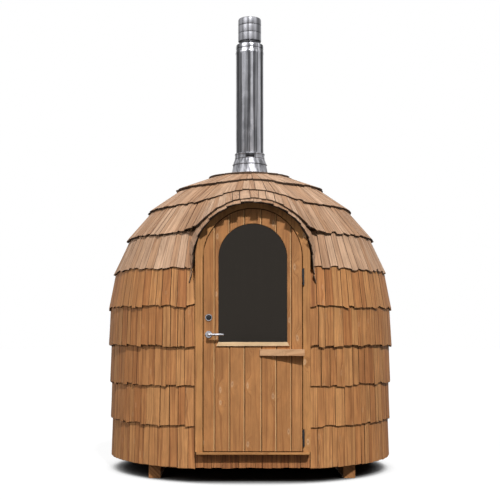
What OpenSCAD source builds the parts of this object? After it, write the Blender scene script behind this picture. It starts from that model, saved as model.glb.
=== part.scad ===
// Igloo sauna: a round timber cabin under a dome, all skinned in shingles.
// A flat door frame stands on the front, under an eyebrow canopy that grows out of the dome.
// Millimetres, +Z up, the door faces -Y, the ground is z = 0.

/* [Base] */
// Width of each bearer
bearer_w = 87; // [70:1:140]
// Height of each bearer
bearer_h = 98; // [60:1:120]
// Distance of each bearer's middle inside the foot of the wall
bearer_in = 364; // [200:1:420]
// Distance of the bearers' ends inside the wall's boarding
bearer_back = 50; // [0:1:80]
// Height of the joists and of the ring beam
joist_h = 86; // [70:1:140]
// Width of a joist
joist_w = 45; // [35:1:70]
// Number of joists
joist_count = 5; // [4:1:7]
// Distance of the outer joists' middles inside the ring beam
joist_in = 110; // [90:1:200]
// Width of the ring beam under the wall
ring_w = 120; // [100:1:160]
// Thickness of the floor boards
floor_t = 28; // [18:1:40]

/* [Wall and dome] */
// Radius of the boarding at the foot of the wall
wall_foot_r = 1084; // [900:1:1400]
// How much larger the dome's radius is than the wall's foot
wall_flare = 24; // [0:1:60]
// Height of the dome's centre above the ground
dome_z = 1250; // [1100:10:1500]
// Thickness of a wall or dome panel
wall_t = 70; // [50:1:100]
// Number of panels round the wall and round the dome
panel_count = 7; // [6:1:8]
// Gap between neighbouring panels
panel_gap = 0.3; // [0.2:0.1:2]
// Radius of the crown's hole over the flue pipe's radius
crown_clear = 0.3; // [0.3:0.1:2]

/* [Shingles] */
// Gap between the shingles and the boards behind them
skin_gap = 0.2; // [0.2:0.1:1]
// Length of each course that shows
lap = 287; // [200:1:330]
// Height of the skirt's lower edge above the bearers' top
skirt_gap = 7; // [2:1:12]
// Thickness of the skin at a course's lower edge
butt_t = 30; // [20:1:40]
// Thickness of the skin where the next course covers it
head_t = 15; // [10:1:20]
// How much further the course at the waist stands out
waist_kick = 11; // [0:1:20]

/* [Door frame] */
// Half of the frame's overall width, and the radius of its head
frame_r = 410; // [340:1:460]
// How far the frame's front stands in front of the wall's boarding
frame_out = 0; // [-20:1:60]
// Depth of the frame from front to back
frame_d = 134; // [110:1:160]
// Width of the jamb that shows beside the leaf
jamb_w = 53; // [40:0.5:80]
// Overlap of the stop behind the leaf's edge
stop_lap = 11.5; // [8:0.5:20]
// Thickness of the lining behind the frame
lining_t = 25; // [15:1:40]
// Thickness of the sill
sill_t = 16; // [12:1:30]
// How far the sill stands in front of the frame
sill_nose = 16; // [5:1:40]
// Distance of the sill's ends inside the frame's sides
sill_in = 8; // [0:1:30]
// Distance the panel under the sill lies behind the frame's front
sill_panel_back = 49; // [20:1:70]
// Thickness of the panel under the sill
sill_panel_t = 60; // [30:1:80]

/* [Door] */
// Height of the leaf from its foot to the centre of its arch
leaf_straight = 1374; // [1100:1:1500]
// Thickness of the leaf
leaf_t = 44; // [36:1:60]
// How far the leaf's face stands in front of the frame
leaf_proud = 6; // [3:1:12]
// Gap round the leaf
leaf_gap = 6.5; // [6:0.5:8]
// Width of the leaf beside the glass opening
stile_w = 105.5; // [90:0.5:160]
// Length of the glass opening below the arch's centre
light_drop = 600; // [300:1:800]
// Thickness of the glass unit
glass_t = 20; // [6:1:24]
// Depth of the groove that holds the glass
glass_edge = 12; // [8:1:18]
// Clearance of the glass unit in its groove
glass_play = 0.3; // [0.1:0.1:1]
// Height of the strip under the glass
strip_h = 28; // [15:1:40]
// How much wider the strip's foot is than its head, at each end
strip_flare = 15; // [0:1:20]
// How far the strip stands out
strip_t = 12; // [6:1:25]

/* [Door stop] */
// Length of the wedge-shaped stop
stop_len = 314; // [200:1:360]
// Height of the stop
stop_h = 46; // [30:1:70]
// How far the stop stands out at its thick end
stop_thick = 68; // [40:1:80]
// How far the stop stands out at its thin end
stop_thin = 12; // [6:1:20]
// Distance between the stop and the strip under the glass
stop_below = 23; // [10:1:200]

/* [Ironmongery] */
// Diameter of the outer roses
rose_d = 54; // [45:1:60]
// Diameter of the inner roses
inner_rose_d = 40; // [30:1:42]
// Thickness of a rose
rose_t = 8; // [5:1:12]
// Distance from the leaf's edge to the handle's spindle
backset = 36.5; // [34:0.5:60]
// Height of the spindle above the leaf's foot
spindle_z = 827; // [700:1:950]
// Distance from the spindle up to the lock cylinder
lock_up = 121; // [72:1:140]
// Length of the lever from its spindle
lever_len = 110; // [90:1:130]
// Diameter of the lever
lever_d = 18; // [14:1:22]
// Distance from the leaf's face to the middle of the lever
lever_out = 50; // [40:1:60]
// Diameter of a hinge's knuckle
knuckle_d = 13; // [10:1:14]
// Diameter of a hinge's pin
pin_d = 6; // [4:0.5:8]
// Length of a hinge
hinge_h = 118; // [80:1:140]
// Height of the lower hinge's middle above the leaf's foot
hinge_low = 93; // [80:1:300]
// Distance of the upper hinge's middle below the centre of the leaf's arch
hinge_drop = 136; // [80:1:300]
// Distance of the pins' axis from the leaf's edge
hinge_side = 9.5; // [8:0.5:12]
// Distance of the pins' axis in front of the leaf's face
hinge_front = 2; // [0:0.5:4]
// Width of a hinge's pocket in the jamb
pocket_w = 10; // [8:0.5:14]
// Depth of a hinge's pocket in the jamb
pocket_d = 20; // [15:1:30]
// Thickness of a hinge's plate
plate_t = 4; // [3:0.5:6]
// Width and height of the lever's spindle
spindle_d = 8; // [7:1:10]

/* [Canopy] */
// Slope of the canopy, in degrees
canopy_tilt = 18.9; // [12:0.1:25]
// How far the canopy's crown stands in front of the frame
canopy_over = 132; // [80:1:140]
// Thickness of the canopy's deck
deck_t = 12; // [12:1:30]
// Thickness left in the deck over the frame's crown
deck_min = 12; // [12:1:26]
// Thickness of the canopy's shingles at a course's lower edge
canopy_butt_t = 14; // [12:1:30]
// Thickness of the canopy's shingles under the next course
canopy_head_t = 7; // [6:1:15]
// Length of the first course of the canopy
canopy_lap = 270; // [180:1:300]
// Length of the canopy's sides below the centre of its arch
canopy_leg = 300; // [150:1:400]
// Length of the canopy along its slope, as far as the dome needs it
canopy_run = 860; // [700:10:1000]

/* [Chimney] */
// Inner diameter of the flue
flue_d = 125; // [100:1:160]
// Thickness of the flue's liner
liner_t = 1.5; // [1:0.5:3]
// Diameter of the insulated pipe
pipe_d = 225; // [200:1:280]
// Height of the insulated pipe's top above the ground
pipe_top_z = 3436; // [3000:10:4000]
// Distance of the neck over the pipe inside the pipe's face
neck_in = 27.5; // [15:0.5:30]
// Height of the neck over the pipe
neck_h = 26; // [10:1:40]
// Distance of the cap sleeve inside the pipe's face
cap_in = 18.5; // [5:0.5:25]
// Height of the cap sleeve
cap_h = 192; // [100:1:250]
// How far the collar at the pipe's top stands out
collar_out = 3; // [1:0.5:10]
// Height of the collar at the pipe's top
collar_h = 45; // [20:1:60]
// How far the locking band stands out
band_out = 10; // [6:0.5:15]
// Height of the locking band
band_h = 45; // [30:1:60]
// How far the storm collar's lower edge stands out
storm_out = 28.5; // [20:0.5:45]
// Height of the storm collar
storm_h = 48; // [30:1:70]
// Length of the clip on the locking band
clip_w = 72; // [40:1:90]
// How far the clip stands out over the locking band
clip_t = 4; // [2:1:8]
// How far the flashing's lower edge stands out
flashing_out = 37.5; // [35:0.5:60]
// Height of the flashing's lower edge above the crown's boarding
flashing_up = 19; // [15:1:30]
// Height of the flashing
flashing_h = 73; // [50:1:100]
// Depth of the flue below the crown's boarding
flue_drop = 150; // [100:10:300]

/* [Hidden] */
$fn = 256;

// Radii and reaches: a reach is a distance from the dome's axis towards the front
dome_r = wall_foot_r + wall_flare;
bearer_x = wall_foot_r - bearer_in;
frame_reach = wall_foot_r + frame_out;
pipe_r = pipe_d / 2;
liner_r = flue_d / 2 + liner_t;

// Heights of the floor and of the door
joist_top = bearer_h + joist_h;
floor_top = joist_top + floor_t;
sill_top = floor_top + sill_t;
leaf_foot = sill_top + leaf_gap;
arch_z = leaf_foot + leaf_straight;
skirt_z = bearer_h + skirt_gap;

// The dome's courses start at equal steps along its outer curve
butt_r = dome_r + butt_t;
lap_angle = lap / butt_r * 180 / PI;
dome_start = 0.8;
crown_hole_r = pipe_r + crown_clear;
crown_lap = 0.3;
dome_steps = floor((acos(crown_hole_r / dome_r) - dome_start) / lap_angle - crown_lap);
// Angle up the dome, from its centre's level, of step k
function step_angle(k) = dome_start + k * lap_angle;
// A point at radius r and angle a of the dome, as [radius, height]
function on_dome(r, a) = [r * cos(a), dome_z + r * sin(a)];
wall_top = on_dome(dome_r, dome_start)[1];
wall_top_r = on_dome(dome_r, dome_start)[0];
// Radius of the wall's boarding at height z
function wall_r(z) = wall_foot_r + (wall_top_r - wall_foot_r) * (z - bearer_h) / (wall_top - bearer_h);
// Boarding of the dome, from the wall's top to the crown's edge
dome_outer = [for (k = [0:dome_steps]) on_dome(dome_r, step_angle(k))];
dome_skin = [for (k = [0:dome_steps]) on_dome(dome_r + skin_gap, step_angle(k))];
dome_inner = [for (k = [0:dome_steps])
    k == 0 ? [wall_top_r - wall_t, wall_top] : on_dome(dome_r - wall_t, step_angle(k))];
crown_top = dome_z + sqrt(pow(dome_r, 2) - pow(crown_hole_r, 2));
crown_under = dome_z + sqrt(pow(dome_r - wall_t, 2) - pow(crown_hole_r, 2));

// Courses of the wall: the lower edge of each, from the skirt up
wall_courses = round((wall_top - skirt_z) / lap);
function course_z(k) = k == 0 ? skirt_z : wall_top - (wall_courses - k) * lap;
function course_kick(k) = k == wall_courses - 1 ? waist_kick : 0;

// Door frame and leaf
leaf_r = frame_r - jamb_w - leaf_gap;
frame_back = frame_reach - frame_d;
leaf_reach = frame_reach + leaf_proud;
leaf_back = leaf_reach - leaf_t;
hinge_x = leaf_r + hinge_side;
hinge_reach = leaf_reach + hinge_front;
hinge_heights = [leaf_foot + hinge_low, arch_z - hinge_drop];
light_r = leaf_r - stile_w;
light_foot = arch_z - light_drop;
stop_z = light_foot - strip_h - stop_below - stop_h;
lever_x = -leaf_r + backset;
lever_z = leaf_foot + spindle_z;
neck_of_lever = spindle_d + 8;

// Canopy: its underside is an arch over the frame, on an axis that slopes down to the front
canopy_r = frame_r + deck_t;
canopy_out = canopy_r + canopy_butt_t;
canopy_reach = frame_reach + canopy_over - canopy_r * sin(canopy_tilt);
canopy_z = arch_z + frame_r + deck_min - canopy_r / cos(canopy_tilt)
    - (canopy_reach - frame_reach) * tan(canopy_tilt);

// The dome's axis lies behind the origin, which is the middle of the whole plan
front_reach = canopy_reach + canopy_out * sin(canopy_tilt);
rear_reach = wall_r(course_z(wall_courses - 1)) + butt_t + waist_kick;
axis_y = (front_reach - rear_reach) / 2;

// Angle from the front at which the wall panels start
door_angle = asin(frame_r / wall_top_r);
panel_angle = (360 - 2 * door_angle) / panel_count;
// Half of the gap beside a panel, as an angle
gap_angle = panel_gap / wall_top_r * 90 / PI;

cap_foot_z = pipe_top_z + neck_h;
flue_top_z = cap_foot_z + cap_h;
flue_foot_z = crown_top - flue_drop;
flashing_foot_z = crown_top + flashing_up;
storm_foot_z = flashing_foot_z + flashing_h;
band_foot_z = storm_foot_z + storm_h;
collar_foot_z = pipe_top_z - collar_h;

// Puts a shape that is drawn round the dome's axis in its place
module on_axis() {
    translate([0, axis_y, 0]) children();
}

// Stands a flat outline of the front upright: its x is x, its y is the height,
// and it fills the space from reach_back to reach_front before the dome's axis
module upright(reach_back, reach_front) {
    translate([0, axis_y - reach_back, 0]) rotate([90, 0, 0])
        linear_extrude(height = reach_front - reach_back) children();
}

// Turns an arched section, given as [radius, reach], over the door's head
module arch_head() {
    translate([0, axis_y, arch_z]) rotate([90, 0, 0])
        rotate_extrude(angle = 180) children();
}

// Outline of a doorway with a round head: r is half its width
module doorway_outline(r, foot) {
    translate([0, arch_z]) circle(r = r);
    translate([-r, foot]) square([2 * r, arch_z - foot]);
}

// Everything that the door frame and the passage take from the walls
module doorway_space() {
    upright(0.5 * frame_reach, frame_reach + 400) doorway_outline(frame_r, -100);
}

// Turns a section, given as [radius, height], through part of a circle from the front's middle
module turned(start, sweep) {
    on_axis() rotate([0, 0, 270 + start]) rotate_extrude(angle = sweep) children();
}

// Turns a section through the width of panel i of the wall or of the dome
module panel_turn(i) {
    turned(door_angle + (i - 1) * panel_angle + gap_angle, panel_angle - 2 * gap_angle)
        children();
}

// The space inside the walls and the dome
module room_space() {
    on_axis() rotate_extrude() polygon(concat(
        [[0, joist_top], [wall_r(joist_top) - wall_t, joist_top]],
        dome_inner,
        [[crown_hole_r, crown_under], [0, crown_under]]));
}

// The whole body within the skin of shingles
module boarded_space() {
    on_axis() rotate_extrude() polygon(concat(
        [[0, bearer_h], [wall_r(bearer_h) + skin_gap, bearer_h]],
        dome_skin,
        [[crown_hole_r, crown_top + skin_gap], [0, crown_top + skin_gap]]));
}

// Moves a shape to the canopy: local Z runs back up the slope, local Y down the front
module on_canopy() {
    translate([0, axis_y - canopy_reach, canopy_z]) rotate([canopy_tilt - 90, 0, 0]) children();
}

// An arched shell of the canopy with straight sides, from its section as [radius, run]
module canopy_shell(points) {
    on_canopy() {
        rotate([0, 0, 180]) rotate_extrude(angle = 180) polygon(points);
        for (side = [0, 1])
            mirror([side, 0, 0]) translate([0, canopy_leg, 0]) rotate([90, 0, 0])
                linear_extrude(height = canopy_leg) polygon(points);
    }
}

// The space that the canopy takes from the dome's shingles
module canopy_space() {
    on_canopy() {
        cylinder(r = canopy_out + 1, h = canopy_run);
        translate([-canopy_out - 1, 0, 0])
            cube([2 * canopy_out + 2, canopy_leg, canopy_run]);
    }
}

module bearers() {
    half = sqrt(pow(wall_foot_r, 2) - pow(bearer_x, 2)) - bearer_back;
    color("saddlebrown") on_axis()
        for (side = [-1, 1])
            translate([side * bearer_x - bearer_w / 2, -half, 0])
                cube([bearer_w, 2 * half, bearer_h]);
}

module floor_joists() {
    inner_r = wall_foot_r - ring_w;
    span = 2 * (inner_r - joist_in);
    color("burlywood") on_axis() intersection() {
        translate([0, 0, bearer_h]) cylinder(r = inner_r, h = joist_h);
        for (i = [0:joist_count - 1])
            translate([-inner_r, -span / 2 + i * span / (joist_count - 1) - joist_w / 2, bearer_h])
                cube([2 * inner_r, joist_w, joist_h]);
    }
}

module ring_beam() {
    color("burlywood") difference() {
        turned(0, 360) polygon([
            [wall_foot_r - ring_w, bearer_h], [wall_r(bearer_h), bearer_h],
            [wall_r(joist_top), joist_top], [wall_foot_r - ring_w, joist_top]]);
        doorway_space();
    }
}

module floor_deck() {
    deck_gap = 0.3;
    deck_r = wall_foot_r - wall_t - deck_gap;
    flat_front = frame_reach - sill_panel_back - sill_panel_t;
    color("wheat") on_axis() intersection() {
        translate([0, 0, joist_top]) cylinder(r = deck_r, h = floor_t);
        translate([-deck_r, -flat_front, joist_top])
            cube([2 * deck_r, flat_front + deck_r, floor_t]);
    }
}

module wall_panel(i) {
    color("tan") difference() {
        panel_turn(i) polygon([
            [wall_r(joist_top) - wall_t, joist_top], [wall_r(joist_top), joist_top],
            [wall_top_r, wall_top], [wall_top_r - wall_t, wall_top]]);
        doorway_space();
    }
}

module dome_section() {
    polygon(concat(dome_outer, [for (k = [dome_steps:-1:0]) dome_inner[k]]));
}

module dome_panel(i) {
    color("tan") difference() {
        panel_turn(i) dome_section();
        doorway_space();
    }
}

module dome_panel_front() {
    color("tan") difference() {
        turned(gap_angle - door_angle, 2 * (door_angle - gap_angle)) dome_section();
        doorway_space();
    }
}

module crown_ring() {
    color("tan") turned(0, 360) polygon([
        dome_inner[dome_steps], dome_outer[dome_steps],
        [crown_hole_r, crown_top], [crown_hole_r, crown_under]]);
}

// Saw-toothed skin of the wall: each course is thick at its foot and thin at its head
module wall_shingles() {
    teeth = [for (k = [0:wall_courses - 1], head = [0, 1])
        let (z = course_z(k + head))
        [wall_r(z) + (head == 1 ? head_t : butt_t + course_kick(k)), z]];
    color("peru") difference() {
        turned(0, 360) polygon(concat(
            [[wall_r(skirt_z) + skin_gap, skirt_z]], teeth, [[wall_top_r + skin_gap, wall_top]]));
        doorway_space();
        canopy_space();
    }
}

module dome_shingles() {
    teeth = [for (k = [0:dome_steps - 1], head = [0, 1])
        on_dome(dome_r + (head == 1 ? head_t : butt_t), step_angle(k + head))];
    crown_r = pipe_r + 10;
    crown_z = dome_z + sqrt(pow(dome_r, 2) - pow(crown_r, 2));
    color("peru") difference() {
        turned(0, 360) polygon(concat(
            [for (k = [dome_steps:-1:0]) dome_skin[k]],
            teeth,
            [on_dome(dome_r + butt_t, step_angle(dome_steps)),
             [crown_r, crown_z + head_t], [crown_r, crown_z + 2]]));
        doorway_space();
        canopy_space();
    }
}

module canopy_deck() {
    color("tan") difference() {
        canopy_shell([[frame_r, 0], [canopy_r, 0], [canopy_r, canopy_run], [frame_r, canopy_run]]);
        boarded_space();
        doorway_space();
        translate([-2 * frame_r, axis_y - 2 * frame_reach, 0])
            cube([4 * frame_r, frame_reach, 2 * arch_z]);
    }
}

module canopy_shingles() {
    starts = [0, canopy_lap, canopy_lap + lap, canopy_run];
    teeth = [for (k = [0:2], head = [0, 1])
        [canopy_r + (head == 1 ? canopy_head_t : canopy_butt_t), starts[k + head]]];
    color("peru") difference() {
        canopy_shell(concat(
            [[canopy_r + skin_gap, 0]], teeth, [[canopy_r + skin_gap, canopy_run]]));
        boarded_space();
    }
}

// Section of a jamb or of the head, as [distance from the middle, reach]
function frame_section() = [
    [leaf_r + leaf_gap, frame_reach], [frame_r, frame_reach],
    [frame_r, frame_back], [leaf_r - stop_lap, frame_back],
    [leaf_r - stop_lap, leaf_back - leaf_gap], [leaf_r + leaf_gap, leaf_back - leaf_gap]];

module jamb() {
    translate([0, axis_y, sill_top]) linear_extrude(height = arch_z - sill_top)
        polygon([for (p = frame_section()) [p[0], -p[1]]]);
}

module jamb_left() {
    color("sandybrown") mirror([1, 0, 0]) jamb();
}

// The right jamb has a pocket for each hinge, with a slanting foot
module jamb_right() {
    color("sandybrown") difference() {
        jamb();
        for (z = hinge_heights)
            upright(frame_reach - pocket_d, frame_reach + 10)
                translate([leaf_r + leaf_gap, z]) polygon([
                    [-1, -hinge_h / 2 - pocket_w], [0, -hinge_h / 2 - pocket_w],
                    [pocket_w, -hinge_h / 2], [pocket_w, hinge_h / 2 + 3], [-1, hinge_h / 2 + 3]]);
    }
}

module frame_head() {
    color("sandybrown") arch_head() polygon(frame_section());
}

// Lines the passage from the frame back to the dome's inner face
module passage_lining() {
    foot = wall_top + lap / 2;
    color("burlywood") difference() {
        upright(0.5 * frame_reach, frame_back) intersection() {
            difference() {
                doorway_outline(frame_r, floor_top);
                doorway_outline(frame_r - lining_t, floor_top - 1);
            }
            translate([-frame_r, foot]) square([2 * frame_r, arch_z + frame_r]);
        }
        room_space();
    }
}

module door_sill() {
    half = frame_r - sill_in;
    color("burlywood") translate([-half, axis_y - frame_reach - sill_nose, floor_top])
        cube([2 * half, frame_d + sill_nose, sill_t]);
}

module sill_panel() {
    color("peru") translate([-frame_r, axis_y - frame_reach + sill_panel_back, skirt_z])
        cube([2 * frame_r, sill_panel_t, floor_top - skirt_z]);
}

module door_leaf() {
    mid = (leaf_reach + leaf_back) / 2;
    color("sandybrown") difference() {
        upright(leaf_back, leaf_reach) doorway_outline(leaf_r, leaf_foot);
        upright(leaf_back - 1, leaf_reach + 1) doorway_outline(light_r, light_foot);
        upright(mid - glass_t / 2, mid + glass_t / 2)
            doorway_outline(light_r + glass_edge, light_foot - glass_edge);
        translate([lever_x, axis_y - leaf_back + 1, lever_z]) rotate([90, 0, 0])
            cylinder(d = spindle_d + 2, h = leaf_t + 2);
    }
}

module door_glass() {
    mid = (leaf_reach + leaf_back) / 2;
    half = glass_t / 2 - glass_play;
    edge = glass_edge - glass_play;
    color("dimgray") upright(mid - half, mid + half)
        doorway_outline(light_r + edge, light_foot - edge);
}

module glass_strip() {
    color("navajowhite") upright(leaf_reach, leaf_reach + strip_t) polygon([
        [-light_r - strip_flare, light_foot - strip_h],
        [light_r + strip_flare, light_foot - strip_h],
        [light_r, light_foot], [-light_r, light_foot]]);
}

// Wedge that limits the door's swing: thin towards the middle, thick over the hinges
module door_stop() {
    over_hinge = 3;
    tip_x = hinge_x + over_hinge;
    color("tan") translate([0, axis_y, stop_z]) linear_extrude(height = stop_h)
        polygon([
            [tip_x - stop_len, -leaf_reach], [leaf_r, -leaf_reach],
            [leaf_r, -hinge_reach], [tip_x, -hinge_reach],
            [tip_x, -leaf_reach - stop_thick], [tip_x - stop_len, -leaf_reach - stop_thin]]);
}

// Places a hinge's parts on the axis of the hinges, at both heights
module at_hinges() {
    for (z = hinge_heights)
        translate([hinge_x, axis_y - hinge_reach, z]) children();
}

// Lower knuckles, with the pins, screwed to the side of their pockets
module hinges_frame() {
    pocket_side = leaf_r + leaf_gap + pocket_w - hinge_x;
    pocket_back = hinge_reach - frame_reach + pocket_d;
    color("dimgray") at_hinges() {
        translate([0, 0, -hinge_h / 2]) cylinder(d = knuckle_d, h = hinge_h / 2 - 0.5);
        translate([0, 0, -hinge_h / 2]) cylinder(d = pin_d, h = hinge_h - 6);
        translate([pocket_side - plate_t, 0, -hinge_h / 2])
            cube([plate_t, pocket_back, hinge_h / 2 - 0.5]);
    }
}

// Upper knuckles, screwed to the leaf's edge
module hinges_door() {
    edge = leaf_r - hinge_x;
    web = [-edge - 0.3 * knuckle_d, 0.3 * knuckle_d];
    plate = [-edge - knuckle_d / 2 - 0.2, web[1] + 30];
    color("dimgray") at_hinges() difference() {
        union() {
            cylinder(d = knuckle_d, h = hinge_h / 2);
            translate([edge, -web[1] - 0.5, 0]) cube([web[0], web[1], hinge_h / 2]);
            translate([edge, -web[1] - 0.5, 0]) cube([plate[0], plate[1], hinge_h / 2]);
        }
        translate([0, 0, -1]) cylinder(d = pin_d + 0.1, h = hinge_h / 2 - 4);
    }
}

// Roses of the lever and of the lock, on both faces of the leaf
module door_roses() {
    hole_d = neck_of_lever + 2;
    color("silver") for (up = [0, lock_up]) {
        translate([lever_x, axis_y - leaf_reach, lever_z + up]) rotate([90, 0, 0])
            difference() {
                cylinder(d = rose_d, h = rose_t);
                if (up == 0) translate([0, 0, -1]) cylinder(d = hole_d, h = rose_t + 2);
            }
        translate([lever_x, axis_y - leaf_back + rose_t, lever_z + up]) rotate([90, 0, 0])
            difference() {
                cylinder(d = inner_rose_d, h = rose_t);
                if (up == 0) translate([0, 0, -1]) cylinder(d = hole_d, h = rose_t + 2);
            }
    }
}

// One lever outside and one inside, on a spindle through the leaf
module door_lever() {
    play = 1;
    color("silver") translate([lever_x, axis_y - leaf_back, lever_z]) {
        rotate([90, 0, 0]) translate([0, 0, -1]) cylinder(d = spindle_d, h = leaf_t + 2);
        rotate([90, 0, 0]) translate([0, 0, leaf_t + play])
            cylinder(d = neck_of_lever, h = lever_out - play);
        rotate([-90, 0, 0]) translate([0, 0, play])
            cylinder(d = neck_of_lever, h = lever_out - play);
        for (y = [-leaf_t - lever_out, lever_out])
            translate([0, y, 0]) {
                sphere(d = lever_d);
                rotate([0, 90, 0]) cylinder(d = lever_d, h = lever_len - lever_d / 2);
                translate([lever_len - lever_d / 2, 0, 0]) sphere(d = lever_d);
            }
    }
}

// A pipe round the chimney's axis
module pipe(outer, inner, foot, top) {
    turned(0, 360) polygon([[inner, foot], [outer, foot], [outer, top], [inner, top]]);
}

module flue_liner() {
    color("gray") pipe(liner_r, flue_d / 2, flue_foot_z, flue_top_z);
}

module flue_pipe() {
    bead = 2;
    collar_r = pipe_r + collar_out;
    neck_r = pipe_r - neck_in;
    color("silver") turned(0, 360) polygon([
        [liner_r, flue_foot_z], [pipe_r, flue_foot_z], [pipe_r, collar_foot_z],
        [collar_r, collar_foot_z + bead], [collar_r, pipe_top_z - bead],
        [pipe_r, pipe_top_z], [neck_r, pipe_top_z], [neck_r, cap_foot_z],
        [liner_r, cap_foot_z]]);
}

module flue_cap() {
    bead = 2;
    cap_r = pipe_r - cap_in;
    rings = [for (level = [0.35, 0.7]) cap_foot_z + level * cap_h];
    color("silver") turned(0, 360) polygon([
        [liner_r, cap_foot_z], [cap_r - bead, cap_foot_z],
        for (z = rings, p = [[-bead, -6], [0, 0], [-bead, 6]]) [cap_r + p[0], z + p[1]],
        [cap_r - bead, flue_top_z - 8], [cap_r, flue_top_z - 4], [cap_r, flue_top_z],
        [liner_r, flue_top_z]]);
}

module locking_band() {
    band_r = pipe_r + band_out;
    clip_edge = 6;
    color("dimgray") union() {
        pipe(band_r, pipe_r, band_foot_z, band_foot_z + band_h);
        translate([-clip_w / 2, axis_y - band_r - clip_t, band_foot_z + clip_edge])
            cube([clip_w, clip_t + 0.8 * band_out, band_h - 2 * clip_edge]);
    }
}

module storm_collar() {
    edge = 3;
    storm_r = pipe_r + storm_out;
    color("silver") turned(0, 360) polygon([
        [pipe_r, storm_foot_z + 8], [storm_r - edge, storm_foot_z],
        [storm_r, storm_foot_z], [storm_r, storm_foot_z + edge],
        [pipe_r + band_out, band_foot_z], [pipe_r, band_foot_z]]);
}

module flashing() {
    edge = 3;
    flashing_r = pipe_r + flashing_out;
    head_r = pipe_r + 22;
    color("silver") turned(0, 360) polygon([
        [pipe_r, flashing_foot_z + 8], [flashing_r - edge - 1, flashing_foot_z],
        [flashing_r, flashing_foot_z], [flashing_r, flashing_foot_z + edge],
        [head_r, storm_foot_z], [pipe_r, storm_foot_z + 6]]);
}

bearers();
floor_joists();
ring_beam();
floor_deck();
wall_panel(1);  // wall_panel_1
wall_panel(2);  // wall_panel_2
wall_panel(3);  // wall_panel_3
wall_panel(4);  // wall_panel_4
wall_panel(5);  // wall_panel_5
wall_panel(6);  // wall_panel_6
wall_panel(7);  // wall_panel_7
dome_panel(1);  // dome_panel_1
dome_panel(2);  // dome_panel_2
dome_panel(3);  // dome_panel_3
dome_panel(4);  // dome_panel_4
dome_panel(5);  // dome_panel_5
dome_panel(6);  // dome_panel_6
dome_panel(7);  // dome_panel_7
dome_panel_front();
crown_ring();
wall_shingles();
dome_shingles();
canopy_deck();
canopy_shingles();
jamb_left();
jamb_right();
frame_head();
passage_lining();
door_sill();
sill_panel();
door_leaf();
door_glass();
glass_strip();
door_stop();
hinges_frame();
hinges_door();
door_roses();
door_lever();
flue_liner();
flue_pipe();
flue_cap();
locking_band();
storm_collar();
flashing();
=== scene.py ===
import random
from math import asin, atan2, copysign, cos, hypot, pi, radians, sin, sqrt

import bmesh
import bpy
from bpy.props import FloatProperty, FloatVectorProperty, PointerProperty
from mathutils import Matrix, Vector

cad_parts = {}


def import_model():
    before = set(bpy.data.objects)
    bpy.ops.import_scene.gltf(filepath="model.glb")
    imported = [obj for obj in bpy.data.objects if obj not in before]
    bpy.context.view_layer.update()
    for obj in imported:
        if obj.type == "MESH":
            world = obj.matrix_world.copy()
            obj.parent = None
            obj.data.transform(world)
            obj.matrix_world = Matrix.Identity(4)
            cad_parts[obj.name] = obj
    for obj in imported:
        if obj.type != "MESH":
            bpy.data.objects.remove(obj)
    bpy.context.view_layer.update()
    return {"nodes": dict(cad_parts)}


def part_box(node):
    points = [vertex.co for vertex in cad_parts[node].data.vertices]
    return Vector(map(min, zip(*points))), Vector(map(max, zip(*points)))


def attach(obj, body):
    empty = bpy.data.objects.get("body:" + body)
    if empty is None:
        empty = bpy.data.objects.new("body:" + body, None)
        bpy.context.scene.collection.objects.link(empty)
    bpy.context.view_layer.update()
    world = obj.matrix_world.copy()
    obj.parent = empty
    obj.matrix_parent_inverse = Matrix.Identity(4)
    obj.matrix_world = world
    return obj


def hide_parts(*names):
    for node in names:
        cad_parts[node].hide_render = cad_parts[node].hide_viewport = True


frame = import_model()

bl_info = {
    "name": "Igloo Sauna",
    "version": (1, 0, 0),
    "blender": (4, 5, 0),
    "location": "3D View > Sidebar > Sauna",
    "description": "Builds the boards, door, ironmongery and chimney of a shingled igloo sauna",
    "category": "Add Mesh",
}

# --- Places, read from the frame -------------------------------------------------------------

LOW, HIGH = 0, 1


def ends(node, axis):
    """Lowest and highest place of a CAD node along x, y or z, in metres."""
    return [corner["xyz".index(axis)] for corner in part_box(node)]


AXIS_Y = sum(ends("flue_liner", "y")) / 2
FRAME_R = ends("frame_head", "x")[HIGH]
FRAME_REACH = AXIS_Y - ends("frame_head", "y")[LOW]
ARCH_Z = ends("frame_head", "z")[HIGH] - FRAME_R
SKIRT_Z = ends("wall_shingles", "z")[LOW]
WALL_TOP = ends("wall_panel_1", "z")[HIGH]
CROWN_TOP = ends("crown_ring", "z")[HIGH]
BEARER_TOP = ends("bearers", "z")[HIGH]
# The pipe's collar stands this far out from its skin
COLLAR = 0.003
PIPE_R = ends("flue_pipe", "x")[HIGH] - COLLAR
LEAF_FOOT = ends("door_leaf", "z")[LOW]
LEAF_R = ends("door_leaf", "x")[HIGH]
LEAF_REACH, LEAF_BACK = (AXIS_Y - y for y in ends("door_leaf", "y"))

# The dome's first course starts this much above the level of its centre
FIRST_STEP = radians(0.8)
# Height of a course's lower edge over the boarding, and of the skin under the next course
BUTT, HEAD = 0.0345, 0.020
# Length of a course that shows, and the share of it that goes on under the next course
LAP, TUCK = 0.287, 0.05
# Courses are stepped off along the middle of the skin, this far outside the boarding
SKIN_MIDDLE = 0.030
# The wall's top course stands out by its kick, and the wall narrows to its foot by its flare
WAIST_KICK, WALL_FLARE, WALL_COURSES = 0.006, 0.024, 4


def dome_radius():
    """Radius of the dome's boarding, from the heights of its foot and of the crown's edge."""
    rise, s = CROWN_TOP - WALL_TOP, sin(FIRST_STEP)
    flat = 1 - s * s
    return (rise * s + sqrt((rise * s) ** 2 + flat * (rise**2 + PIPE_R**2))) / flat


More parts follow.
